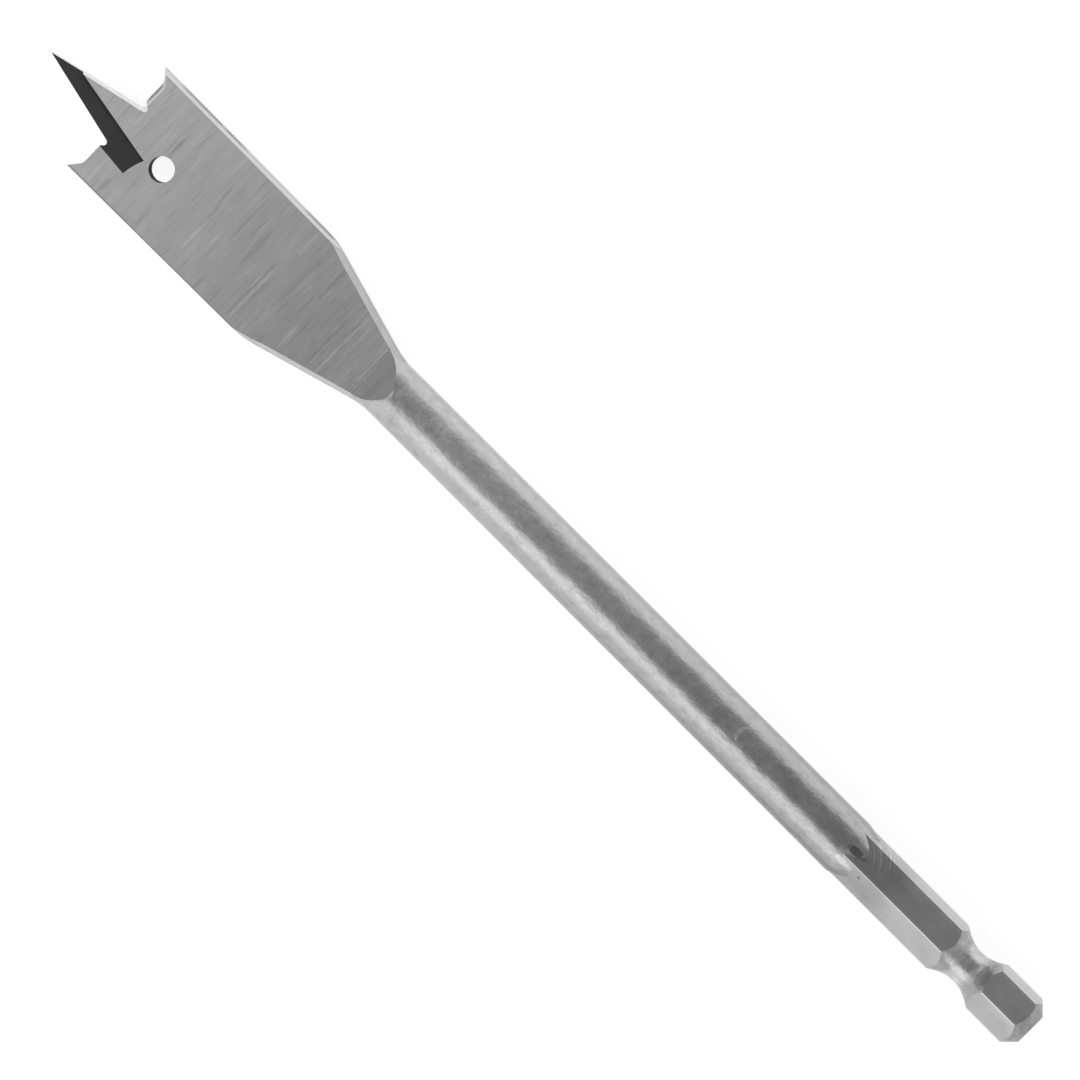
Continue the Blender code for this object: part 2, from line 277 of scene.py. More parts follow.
def node(tree, kind, inputs=None, **settings):
    """A shader node with its settings and inputs: an input is a number, several or another socket."""
    made = tree.nodes.new(kind)
    for name, value in settings.items():
        setattr(made, name, value)
    for name, value in (inputs or {}).items():
        if isinstance(value, bpy.types.NodeSocket):
            tree.links.new(value, made.inputs[name])
        else:
            made.inputs[name].default_value = value
    return made


def calc(tree, operation, first, second=0.0, third=0.0):
    """A Math node's result."""
    made = node(tree, "ShaderNodeMath", {0: first, 1: second, 2: third}, operation=operation)
    return made.outputs[0]


def spread(tree, value, low, high, to_low=0.0, to_high=1.0, smooth=False):
    """value's range low to high, spread over to_low to to_high and held at both ends."""
    inputs = {"Value": value, "From Min": low, "From Max": high, "To Min": to_low, "To Max": to_high}
    made = node(tree, "ShaderNodeMapRange", inputs)
    made.interpolation_type = "SMOOTHSTEP" if smooth else "LINEAR"
    return made.outputs["Result"]


def place(tree):
    """The three coordinates of a point on the bit, in millimetres."""
    coordinates = node(tree, "ShaderNodeTexCoord").outputs["Object"]
    scaled = node(tree, "ShaderNodeVectorMath", {0: coordinates, 3: 1.0 / MM}, operation="SCALE")
    return scaled.outputs[0]


def noise(tree, point, per_mm, detail=2.0, roughness=0.5, shift=0.0):
    """Noise around 0.5 with so many features a millimetre along X, Y and Z."""
    inputs = {"Vector": point, "Location": (shift, shift, shift), "Scale": per_mm}
    moved = node(tree, "ShaderNodeMapping", inputs).outputs[0]
    inputs = {"Vector": moved, "Scale": 1.0, "Detail": detail, "Roughness": roughness}
    return node(tree, "ShaderNodeTexNoise", inputs).outputs["Fac"]


def about_one(tree, value, amount):
    """A factor that goes from 1 - amount to 1 + amount as value goes from 0.2 to 0.8."""
    return spread(tree, value, 0.2, 0.8, 1.0 - amount, 1.0 + amount)


def steel(name, tone, roughness, anisotropy=0.0):
    """A bare steel material. Returns it with its tree and shader."""
    material = bpy.data.materials.new(name)
    material.use_nodes = True
    shader = material.node_tree.nodes["Principled BSDF"]
    shader.inputs["Base Color"].default_value = (tone, tone, tone, 1.0)
    shader.inputs["Metallic"].default_value = 1.0
    shader.inputs["Roughness"].default_value = roughness
    shader.inputs["Anisotropic"].default_value = anisotropy
    return material, material.node_tree, shader


def finish(tree, shader, tone, factors, roughness=None, relief=None, relief_mm=0.0):
    """Sets a steel's tone from its factors, and its roughness and relief."""
    value = tone
    for factor in factors:
        value = calc(tree, "MULTIPLY", value, factor)
    tree.links.new(value, shader.inputs["Base Color"])
    if roughness is not None:
        tree.links.new(roughness, shader.inputs["Roughness"])
    if relief is not None:
        inputs = {"Height": relief, "Strength": 1.0, "Distance": relief_mm * MM}
        bump = node(tree, "ShaderNodeBump", inputs)
        tree.links.new(bump.outputs[0], shader.inputs["Normal"])


def turned_over(tree, value, by):
    """value with its sign changed where by is below 0. One sign holds for both halves of the blade."""
    return calc(tree, "MULTIPLY", value, calc(tree, "SIGN", by))


def between(tree, value, low, high, soft):
    """1 from low to high, 0 outside, with soft ends."""
    rise = spread(tree, value, low - soft, low + soft, 0.0, 1.0, True)
    fall = spread(tree, value, high - soft, high + soft, 1.0, 0.0, True)
    return calc(tree, "MULTIPLY", rise, fall)


def marked(tree, shade, factor):
    """A factor that is 1 where shade is 0 and reaches its full value where shade is 1."""
    return spread(tree, shade, 0.0, 1.0, 1.0, factor)


def toned(tree, value, slope, smooth=False):
    """The factor of a slope of tone: its own where value reaches it, 1 where it has faded."""
    reached, faded, factor = slope
    return spread(tree, value, reached, faded, factor, 1.0, smooth)


def spot(tree, point, mark, ragged=0.35):
    """The factor of a spot: its own inside an uneven oval on the upper side, and 1 elsewhere."""
    centre, half, factor = mark
    parts = node(tree, "ShaderNodeSeparateXYZ", {0: point}).outputs
    along = calc(tree, "DIVIDE", calc(tree, "SUBTRACT", parts["X"], centre[0]), half[0])
    across = calc(tree, "DIVIDE", calc(tree, "SUBTRACT", parts["Y"], centre[1]), half[1])
    squares = calc(tree, "ADD", calc(tree, "POWER", along, 2.0), calc(tree, "POWER", across, 2.0))
    uneven = calc(tree, "SUBTRACT", noise(tree, point, (2.2, 2.2, 2.2), 3.0), 0.5)
    reach = calc(tree, "ADD", calc(tree, "SQRT", squares), calc(tree, "MULTIPLY", uneven, 4.0 * ragged))
    inside = spread(tree, reach, 0.6, 1.3, 1.0, 0.0, True)
    shade = calc(tree, "MULTIPLY", inside, calc(tree, "GREATER_THAN", parts["Z"], 0.0))
    return marked(tree, shade, factor)


def grinding_lines(tree, point):
    """The factor of the lines that stand out on the blade's upper face."""
    parts = node(tree, "ShaderNodeSeparateXYZ", {0: point}).outputs
    wander = calc(tree, "SUBTRACT", noise(tree, point, (0.0, 0.7, 0.0), 2.0), 0.5)
    x = calc(tree, "ADD", parts["X"], calc(tree, "MULTIPLY", wander, 0.25))
    patchy = spread(tree, noise(tree, point, (0.6, 0.8, 0.8), 2.0, 0.5, 31.0), 0.35, 0.6, 0.7, 1.2)
    patchy = calc(tree, "MULTIPLY", patchy, calc(tree, "GREATER_THAN", parts["Z"], 0.0))
    total = 1.0
    for line_x, low, high, width, factor in LINES:
        inside = between(tree, x, line_x - width / 2, line_x + width / 2, 0.12)
        inside = calc(tree, "MULTIPLY", inside, between(tree, parts["Y"], low, high, 0.6))
        shade = calc(tree, "MULTIPLY", inside, patchy)
        total = calc(tree, "MULTIPLY", total, marked(tree, shade, factor))
    return total


def ground_face():
    """Ground across the blade: fine streaks of all lengths, with some deeper and some brighter lines."""
    tone = 0.37
    material, tree, shader = steel("ground_face", tone, 0.25, 0.3)
    point = place(tree)
    parts = node(tree, "ShaderNodeSeparateXYZ", {0: point}).outputs
    fine = noise(tree, point, (6.0, 0.35, 0.35), 3.0, 0.6)
    streak = noise(tree, point, (1.9, 0.18, 0.18), 2.0, 0.45, 3.0)
    broad = noise(tree, point, (0.7, 0.10, 0.10), 2.0, 0.5, 5.0)
    cloud = noise(tree, point, (0.30, 0.35, 0.10), 3.0, 0.55, 7.0)
    scratch = noise(tree, point, (3.2, 0.22, 0.22), 1.0, 0.4, 11.0)
    pit = noise(tree, point, (2.6, 1.9, 1.9), 1.0, 0.5, 23.0)
    # Painted shade darkens the face at its rim, more on the half whose cutting edge lies on it
    across = turned_over(tree, parts["Y"], parts["Z"])
    to_leading = calc(tree, "SUBTRACT", HALF_WIDTH / MM, across)
    to_trailing = calc(tree, "ADD", HALF_WIDTH / MM, across)
    # Painted light brightens it next to the ramp. A painted line of shade lies in the ramp's foot, painted
    # shade makes the ramp's middle darkest and painted light brightens its top
    from_foot = calc(tree, "SUBTRACT", parts["X"], RAMP_X / MM)
    factors = [
        about_one(tree, fine, 0.035),
        about_one(tree, streak, 0.075),
        about_one(tree, broad, 0.04),
        about_one(tree, cloud, 0.05),
        spread(tree, scratch, 0.27, 0.36, 0.84, 1.0),
        spread(tree, scratch, 0.66, 0.75, 1.0, 1.14),
        spread(tree, pit, 0.20, 0.27, 0.80, 1.0),
        spread(tree, pit, 0.73, 0.79, 1.0, 1.13),
        toned(tree, to_leading, LEADING_RIM_SHADE),
        toned(tree, to_trailing, TRAILING_RIM_SHADE),
        toned(tree, from_foot, FOOT_PAINTED_LIGHT),
        marked(tree, between(tree, from_foot, *FOOT_PAINTED_SHADE, 0.10), 0.55),
        toned(tree, from_foot, RAMP_MIDDLE_SHADE),
        toned(tree, from_foot, RAMP_TOP_PAINTED_LIGHT),
        grinding_lines(tree, point),
    ]
    rough = spread(tree, fine, 0.2, 0.8, 0.22, 0.29)
    finish(tree, shader, tone, factors, rough, fine, 0.003)
    tangent = node(tree, "ShaderNodeTangent", direction_type="RADIAL", axis="Z")
    tree.links.new(tangent.outputs[0], shader.inputs["Tangent"])
    shader.inputs["Anisotropic Rotation"].default_value = 0.25
    return material


def rod_steel():
    """Drawn and tumbled: satin, uneven under the light, with painted shade towards the shank and on its
    sides.
    """
    tone = 0.50
    material, tree, shader = steel("rod_satin", tone, 0.25)
    point = place(tree)
    mottle = noise(tree, point, (0.35, 0.6, 0.6), 4.0, 0.6)
    fleck = noise(tree, point, (0.8, 1.1, 1.1), 2.0, 0.5, 5.0)
    grit = noise(tree, point, (2.2, 3.0, 3.0), 2.0, 0.6, 9.0)
    parts = node(tree, "ShaderNodeSeparateXYZ", {0: point}).outputs
    # Painted shade darkens the rod's sides, more so on its rear stretch, and the side at +Y is darkest
    rear = spread(tree, parts["X"], *ROD_SIDE_SHADE_FADE, 1.0, 0.38)
    at_minus_y = calc(tree, "LESS_THAN", parts["Y"], 0.0)
    drop = calc(tree, "MULTIPLY", at_minus_y, ROD_SIDE_SHADE_DROP)
    height = calc(tree, "ADD", calc(tree, "ABSOLUTE", parts["Z"]), drop)
    on_side = spread(tree, height, *ROD_SIDE_SHADE_HEIGHT, 1.0, 0.0, True)
    on_side = calc(tree, "MULTIPLY", on_side, marked(tree, at_minus_y, 0.55))
    # Painted shade darkens the top where it meets the ramp
    near_ramp = spread(tree, parts["X"], *ROD_TOP_SHADE_X)
    on_top = spread(tree, parts["Z"], *ROD_TOP_SHADE_HEIGHT)
    factors = [
        about_one(tree, mottle, 0.09),
        spread(tree, fleck, 0.34, 0.42, 0.88, 1.0),
        spread(tree, fleck, 0.58, 0.66, 1.0, 1.10),
        about_one(tree, grit, 0.04),
        # Painted shade towards the shank
        toned(tree, parts["X"], ROD_REAR),
        marked(tree, calc(tree, "MULTIPLY", rear, on_side), 0.53),
        marked(tree, calc(tree, "MULTIPLY", near_ramp, on_top), 0.78),
        # A painted dark reflection and a painted highlight at the run-out
        spot(tree, point, ROD_PAINTED_DARK_SPOT),
        spot(tree, point, ROD_PAINTED_HIGHLIGHT),
    ]
    rough = spread(tree, mottle, 0.25, 0.75, 0.20, 0.30)
    uneven = calc(tree, "ADD", mottle, calc(tree, "MULTIPLY", fleck, 0.25))
    finish(tree, shader, tone, factors, rough, uneven, 0.10)
    return material


def nick_steel():
    """The nick in the rod, scraped bare."""
    tone = 0.47
    material, tree, shader = steel("scraped_nick", tone, 0.36)
    cloud = noise(tree, place(tree), (1.6, 1.6, 1.6), 2.0, 0.5, 29.0)
    finish(tree, shader, tone, [about_one(tree, cloud, 0.25)], None, cloud, 0.03)
    return material


def hex_steel():
    """Milled flats: smoother, blotchy, with painted corner highlights and curved cutter marks at one
    run-out.
    """
    tone = 0.48
    material, tree, shader = steel("hex_milled", tone, 0.24)
    point = place(tree)
    parts = node(tree, "ShaderNodeSeparateXYZ", {0: point}).outputs
    blotch = noise(tree, point, (0.30, 0.5, 0.5), 3.0, 0.55, 2.0)
    along = noise(tree, point, (0.15, 2.6, 2.6), 2.0, 0.5, 4.0)
    around = node(tree, "ShaderNodeCombineXYZ", {1: parts["Y"], 2: parts["Z"]}).outputs[0]
    radius = node(tree, "ShaderNodeVectorMath", {0: around}, operation="LENGTH").outputs["Value"]
    from_cutter = node(tree, "ShaderNodeVectorMath", {0: point, 1: CUTTER_CENTRE}, operation="DISTANCE")
    inputs = {"W": from_cutter.outputs["Value"], "Scale": 2.8, "Detail": 1.0}
    arcs = node(tree, "ShaderNodeTexNoise", inputs, noise_dimensions="1D").outputs["Fac"]
    cutter = spread(tree, arcs, 0.5, 0.62, 0.0, 1.0, True)
    cutter = calc(tree, "MULTIPLY", cutter, between(tree, parts["X"], *CUTTER_MARKS_X, 0.7))
    cutter = calc(tree, "MULTIPLY", cutter, spread(tree, parts["Y"], *CUTTER_MARKS_Y, 1.0, 0.0))
    factors = [
        about_one(tree, blotch, 0.09),
        about_one(tree, along, 0.04),
        # A painted highlight on the corners
        spread(tree, radius, *CORNER_HIGHLIGHT, 1.0, 1.2),
        # Painted shade towards the rod
        toned(tree, parts["X"], HEX_FRONT_SHADE, True),
        marked(tree, cutter, 1.35),
        # A painted dark reflection and a painted highlight at the run-out
        spot(tree, point, HEX_PAINTED_DARK_SPOT),
        spot(tree, point, HEX_PAINTED_HIGHLIGHT),
        spot(tree, point, HEX_PIT, 0.1),
    ]
    rough = spread(tree, blotch, 0.25, 0.75, 0.20, 0.30)
    finish(tree, shader, tone, factors, rough, blotch, 0.04)
    return material


def turned_steel():
    """The locking groove, turned: fine rings round the axis, bright neck, darker and rougher flanks."""
    tone = 0.55
    material, tree, shader = steel("turned", tone, 0.24)
    point = place(tree)
    rings = noise(tree, point, (9.0, 0.15, 0.15), 2.0, 0.6)
    cloud = noise(tree, point, (0.9, 0.9, 0.9), 3.0, 0.6, 6.0)
    x = node(tree, "ShaderNodeSeparateXYZ", {0: point}).outputs["X"]
    from_neck = calc(tree, "ABSOLUTE", calc(tree, "SUBTRACT", x, GROOVE_FROM_END / MM))
    wander = calc(tree, "SUBTRACT", noise(tree, point, (0.7, 0.9, 0.9), 3.0, 0.6, 15.0), 0.5)
    from_neck = calc(tree, "ADD", from_neck, calc(tree, "MULTIPLY", wander, FLANK_WANDER))
    on_flank = spread(tree, from_neck, *FLANK, 0.0, 1.0, True)
    factors = [
        about_one(tree, rings, 0.08),
        about_one(tree, cloud, 0.25),
        marked(tree, on_flank, 0.68),
        # A painted highlight and a painted dark reflection
        spot(tree, point, GROOVE_PAINTED_HIGHLIGHT),
        spot(tree, point, GROOVE_PAINTED_DARK_SPOT),
    ]
    rough = spread(tree, on_flank, 0.0, 1.0, 0.21, 0.34)
    uneven = calc(tree, "ADD", cloud, calc(tree, "MULTIPLY", rings, 0.05))
    finish(tree, shader, tone, factors, rough, uneven, 0.08)
    return material


def chamfer_steel():
    """The end chamfer, turned rough."""
    tone = 0.31
    material, tree, shader = steel("end_chamfer", tone, 0.34)
    point = place(tree)
    cloud = noise(tree, point, (1.5, 1.5, 1.5), 3.0, 0.6, 13.0)
    finish(tree, shader, tone, [about_one(tree, cloud, 0.32)], None, cloud, 0.07)
    return material


def edge_steel():
    """The forged bevel of the taper, as it came from the die."""
    tone = 0.54
    material, tree, shader = steel("forged_edge", tone, 0.38)
    point = place(tree)
    cloud = noise(tree, point, (0.6, 0.9, 0.9), 3.0, 0.55)
    height = calc(tree, "ABSOLUTE", node(tree, "ShaderNodeSeparateXYZ", {0: point}).outputs["Z"])
    # Painted shade darkens the wall under the bevel, with a painted dark line along its corner
    corner = (HALF_THICKNESS - EDGE_CHAMFER_DEPTH) / MM
    soft = 0.05
    factors = [
        about_one(tree, cloud, 0.10),
        spread(tree, height, corner - soft, corner + soft, 0.72, 1.0, True),
        marked(tree, between(tree, height, corner - 0.02, corner + 0.06, soft), 0.78),
    ]
    finish(tree, shader, tone, factors, None, cloud, 0.03)
    return material


def side_steel():
    """Ground along the sides. Next to the cutting corner they are darker, in places darker still."""
    tone = 0.60
    material, tree, shader = steel("ground_side", tone, 0.32)
    point = place(tree)
    parts = node(tree, "ShaderNodeSeparateXYZ", {0: point}).outputs
    along = noise(tree, point, (0.12, 3.0, 5.0), 3.0, 0.55)
    height = turned_over(tree, parts["Z"], parts["Y"])
    on_land = spread(tree, height, *LAND_HEIGHT, 0.0, 1.0, True)
    darkening = 0.35
    for low, high in DARK_STRETCHES:
        darkening = calc(tree, "ADD", darkening, between(tree, parts["X"], low, high, 0.7))
    patchy = spread(tree, noise(tree, point, (0.25, 2.0, 2.0), 1.0, 0.4, 27.0), 0.30, 0.65, 0.55, 1.0)
    darkening = calc(tree, "MULTIPLY", darkening, patchy)
    land = marked(tree, calc(tree, "MULTIPLY", on_land, darkening), 0.42)
    finish(tree, shader, tone, [about_one(tree, along, 0.12), land], None, along, 0.003)
    return material


def end_steel():
    """Ground bright through the thickness, at the point and its roots."""
    tone = 0.74
    material, tree, shader = steel("ground_end", tone, 0.32)
    point = place(tree)
    through = noise(tree, point, (4.0, 4.0, 0.3), 3.0, 0.55)
    cloud = noise(tree, point, (0.9, 0.9, 1.2), 2.0, 0.5, 19.0)
    factors = [about_one(tree, through, 0.10), about_one(tree, cloud, 0.15)]
    finish(tree, shader, tone, factors, None, cloud, 0.03)
    return material


def shoulder_steel():
    """The relief of the cutting edge and the spur: painted shade next to the edge, bright further down."""
    tone = 0.46
    material, tree, shader = steel("ground_shoulder", tone, 0.32)
    point = place(tree)
    parts = node(tree, "ShaderNodeSeparateXYZ", {0: point}).outputs
    through = noise(tree, point, (4.0, 4.0, 0.3), 3.0, 0.55)
    height = turned_over(tree, parts["Z"], parts["Y"])
    uneven = noise(tree, point, (0.0, 1.4, 1.0), 3.0, 0.6, 4.0)
    # Painted shade next to the cutting edge
    shoulder_shade = spread(tree, calc(tree, "ADD", height, uneven), *SHOULDER_SHADE_HEIGHT, 0.0, 1.0, True)
    off_axis = calc(tree, "ABSOLUTE", parts["Y"])
    shoulder_shade = calc(tree, "MULTIPLY", shoulder_shade, between(tree, off_axis, *SHOULDER_SHADE_ACROSS, 0.5))
    factors = [
        about_one(tree, through, 0.12),
        marked(tree, shoulder_shade, 0.14),
        spread(tree, off_axis, *SPUR_ACROSS, 1.0, 0.88, True),
    ]
    finish(tree, shader, tone, factors, None, through, 0.003)
    return material


def gash_steel():
    """The gashes: dark steel, a little uneven."""
    tone = 0.056
    material, tree, shader = steel("gash_dark", tone, 0.42)
    point = place(tree)
    along = noise(tree, point, (0.35, 3.5, 3.5), 2.0, 0.5)
    cloud = noise(tree, point, (0.4, 0.4, 0.4), 2.0, 0.5, 8.0)
    factors = [about_one(tree, along, 0.06), about_one(tree, cloud, 0.08)]
    finish(tree, shader, tone, factors, None, along, 0.002)
    return material


def hole_steel():
    """The wall of the hole, painted near black for the shade inside it, so that it hardly shines."""
    tone = 0.03
    material, tree, shader = steel("drilled_hole", tone, 0.7)
    shader.inputs["Metallic"].default_value = 0.0
    shader.inputs["Specular IOR Level"].default_value = 0.1
    point = place(tree)
    rings = noise(tree, point, (0.6, 0.6, 9.0), 2.0, 0.5)
    finish(tree, shader, tone, [about_one(tree, rings, 0.15)], None, rings, 0.004)
    return material


STEELS = {
    "face": ground_face(),
    "edge": edge_steel(),
    "side": side_steel(),
    "end": end_steel(),
    "shoulder": shoulder_steel(),
    "gash": gash_steel(),
    "hole": hole_steel(),
    "rod": rod_steel(),
    "nick": nick_steel(),
    "hex": hex_steel(),
    "turned": turned_steel(),
    "chamfer": chamfer_steel(),
}


def add_object(name, bm, finish_name):
    """A closed object from bm, all in one finish."""
    bmesh.ops.remove_doubles(bm, verts=bm.verts, dist=MERGE_DISTANCE)
    bmesh.ops.recalc_face_normals(bm, faces=bm.faces)
    mesh = bpy.data.meshes.new(name)
    bm.to_mesh(mesh)
    bm.free()
    mesh.materials.append(STEELS[finish_name])
    obj = bpy.data.objects.new(name, mesh)
    bpy.context.scene.collection.objects.link(obj)
    return obj


def combine(target, operation, tool):
    """Adds tool to target or cuts it away. The tool's finish comes along, and the tool is removed."""
    modifier = target.modifiers.new(tool.name, "BOOLEAN")
    modifier.operation = operation
    modifier.solver = "EXACT"
    modifier.material_mode = "TRANSFER"
    modifier.object = tool
    depsgraph = bpy.context.evaluated_depsgraph_get()
    result = bpy.data.meshes.new_from_object(target.evaluated_get(depsgraph))
    target.modifiers.clear()
    used = (tool.data, target.data)
    target.data = result
    bpy.data.objects.remove(tool)
    for mesh in used:
        bpy.data.meshes.remove(mesh)


def arc(centre, radius, start, end, steps):
    """Points on an arc in a plane, both ends included."""
    angles = (start + (end - start) * i / steps for i in range(steps + 1))
    return [(centre[0] + radius * math.cos(a), centre[1] + radius * math.sin(a)) for a in angles]


def filleted(before, corner, after, radius, steps):
    """Points that round the corner between two straight stretches."""
    corner = Vector(corner)
    to_before = (Vector(before) - corner).normalized()
    to_after = (Vector(after) - corner).normalized()
    half = to_before.angle(to_after) / 2
    centre = corner + (to_before + to_after).normalized() * radius / math.sin(half)
    first = corner + to_before * radius / math.tan(half) - centre
    last = corner + to_after * radius / math.tan(half) - centre
    start = math.atan2(first.y, first.x)
    return arc(centre, radius, start, start - first.angle_signed(last), steps)


def revolved(name, profile, finish_name):
    """A body turned about the X axis from (x, radius) points."""
    bm = bmesh.new()
    first = Matrix.Rotation(math.pi / ROUND_STEPS, 3, "X")
    verts = [bm.verts.new(first @ Vector((x, 0.0, radius))) for x, radius in profile]
    closed = profile[0][1] > 0 and profile[-1][1] > 0
    pairs = list(zip(verts, verts[1:])) + ([(verts[-1], verts[0])] if closed else [])
    edges = [bm.edges.new(pair) for pair in pairs]
    bmesh.ops.spin(
        bm,
        geom=verts + edges,
        axis=(1.0, 0.0, 0.0),
        cent=(0.0, 0.0, 0.0),
        angle=math.tau,
        steps=ROUND_STEPS,
        use_merge=True,
    )
    return add_object(name, bm, finish_name)


def lofted(name, sections, finish_name):
    """A closed body through loops of points, each loop with as many points as the first."""
    bm = bmesh.new()
    loops = [[bm.verts.new(point) for point in section] for section in sections]
    bm.faces.new(loops[0])
    bm.faces.new(reversed(loops[-1]))
    for here, there in zip(loops, loops[1:]):
        for i in range(len(here)):
            bm.faces.new((here[i - 1], here[i], there[i], there[i - 1]))
    return add_object(name, bm, finish_name)


def other_half(obj):
    """Turns obj's mesh half a turn about the axis, onto the blade's other half."""
    obj.data.transform(Matrix.Rotation(math.pi, 4, "X"))
    return obj


def hexagon(x):
    """The shank's section at x: six flats with rounded corners."""
    points = []
    to_centre = (FLAT_RADIUS - HEX_CORNER_RADIUS) / math.cos(math.pi / 6)
    for corner in range(6):
        middle = HEX_TURN + math.pi / 6 + corner * math.pi / 3
        centre = (to_centre * math.cos(middle), to_centre * math.sin(middle))
        start, end = middle - math.pi / 6, middle + math.pi / 6
        points += arc(centre, HEX_CORNER_RADIUS, start, end, CORNER_STEPS)
    return [(x, -across, up) for up, across in points]


def hex_shank():
    """The hexagon with its end chamfer and locking groove."""
    shank = lofted("hex_shank", [hexagon(0.0), hexagon(HEX_LENGTH + OVERRUN)], "hex")
    reach = 2 * FLAT_RADIUS
    back = OVERRUN * math.tan(END_CHAMFER_ANGLE)
    past_end = (reach - END_FACE_RADIUS) * math.tan(END_CHAMFER_ANGLE)
    chamfer = [(past_end, reach), (-back, END_FACE_RADIUS - OVERRUN), (-back, reach)]
    combine(shank, "DIFFERENCE", revolved("end_chamfer_cut", chamfer, "chamfer"))
    centre = (GROOVE_FROM_END, NECK_RADIUS + GROOVE_ARC_RADIUS)
    half_span = math.radians(55.0)
    low = -math.pi / 2
    ring = arc(centre, GROOVE_ARC_RADIUS, low - half_span, low + half_span, GROOVE_STEPS)
    combine(shank, "DIFFERENCE", revolved("groove_cut", ring, "turned"))
    return shank


def ramp_points():
    """(x, z) from the blade's face up to the rod, an S that starts and ends level."""
    low = HALF_THICKNESS - SEAT
    high = ROD_FRONT_RADIUS + SEAT
    points = []
    for i in range(RAMP_STEPS + 1):
        share = i / RAMP_STEPS
        climb = (high - low) * share * share * (3.0 - 2.0 * share)
        points.append((RAMP_X - share * RAMP_LENGTH, low + climb))
    return points


def ramp_slope(x):
    """How steeply the ramp climbs towards the shank at x."""
    share = min(max((RAMP_X - x) / RAMP_LENGTH, 0.0), 1.0)
    return 6.0 * share * (1.0 - share) * (ROD_FRONT_RADIUS - HALF_THICKNESS) / RAMP_LENGTH


def ramp_cut(name):
    """What forging takes off one side of the rod where it flattens into the blade."""
    curve = ramp_points()
    reach = 2 * ROD_REAR_RADIUS
    outline = [(RAMP_X + RAMP_LENGTH, curve[0][1]), *curve, (curve[-1][0], reach)]
    outline.append((RAMP_X + RAMP_LENGTH, reach))
    return lofted(name, [[(x, y, z) for x, z in outline] for y in (-reach, reach)], "face")


def rod():
    """The round rod. A cone leads it into the hexagon, and it flattens into the blade."""
    nose_radius = FLAT_RADIUS - SEAT
    cone = (ROD_REAR_RADIUS - nose_radius) / math.tan(HEX_RUNOUT_ANGLE)
    front_x = RAMP_X + RAMP_LENGTH / 2
    profile = [
        (HEX_LENGTH - cone, 0.0),
        (HEX_LENGTH - cone, nose_radius),
        (HEX_LENGTH, ROD_REAR_RADIUS),
        (RAMP_X - RAMP_LENGTH, ROD_FRONT_RADIUS),
        (front_x, ROD_FRONT_RADIUS),
        (front_x, 0.0),
    ]
    body = revolved("rod", profile, "rod")
    combine(body, "DIFFERENCE", ramp_cut("ramp_cut_top"))
    combine(body, "DIFFERENCE", other_half(ramp_cut("ramp_cut_bottom")))
    return body


def blade_outline():
    """(x, half width, share of the full bevel) of the forged blank, from the rod to beyond the tip."""
    slope = math.tan(TAPER_ANGLE)
    narrow = ROD_FRONT_RADIUS - BLANK_SEAT
    wide = HALF_WIDTH + FORGING_ALLOWANCE
    foot = (TAPER_X - (HALF_WIDTH - narrow) / slope, narrow)
    rear = (foot[0] - TAPER_END_FILLET * math.tan(TAPER_ANGLE / 2) - OVERRUN, narrow)
    head = (TAPER_X + FORGING_ALLOWANCE / slope, wide)
    tip = (LENGTH + OVERRUN, wide)
    narrow_end = [rear, *filleted(rear, foot, head, TAPER_END_FILLET, FILLET_STEPS)]
    outline = [(*point, 1.0) for point in narrow_end]
    for i, point in enumerate(filleted(foot, head, tip, TAPER_START_FILLET, FILLET_STEPS)):
        outline.append((*point, 1.0 - i / FILLET_STEPS))
    return [*outline, (*tip, 0.0)]


def blade_blank():
    """The forged blade: a flat plate, bevelled along the edges of its taper."""
    sections = []
    for x, half, share in blade_outline():
        bevel = max(share, LEAST_BEVEL)
        flat = half - EDGE_CHAMFER_WIDTH * bevel
        wall = HALF_THICKNESS - EDGE_CHAMFER_DEPTH * bevel
        quarter = [(half, wall), (flat, HALF_THICKNESS)]
        upper = quarter + [(-y, z) for y, z in reversed(quarter)]
        sections.append([(x, y, z) for y, z in upper + [(-y, -z) for y, z in upper]])
    blank = lofted("blade_blank", sections, "edge")
    blank.data.materials.append(STEELS["face"])
    for polygon in blank.data.polygons:
        polygon.material_index = int(abs(polygon.normal.z) > FACING)
    return blank


def side_cut(name):
    """What grinding takes off one side: a land behind the cutting corner, then a relieved stretch."""
    top = HALF_THICKNESS + OVERRUN
    land = HALF_THICKNESS - SIDE_LAND
    relief = (land + top) * math.tan(SIDE_RELIEF_ANGLE)
    sections = []
    for x in (TAPER_X - STRAIGHT_LENGTH / 2, LENGTH + OVERRUN):
        y = HALF_WIDTH - (EDGE_X + SPUR_HEIGHT - x) * math.tan(BACK_TAPER_ANGLE)
        out = HALF_WIDTH + FORGING_ALLOWANCE + OVERRUN
        loop = [(y, top), (y, land), (y - relief, -top), (out, -top), (out, top)]
        sections.append([(x, across, up) for across, up in loop])
    return lofted(name, sections, "side")


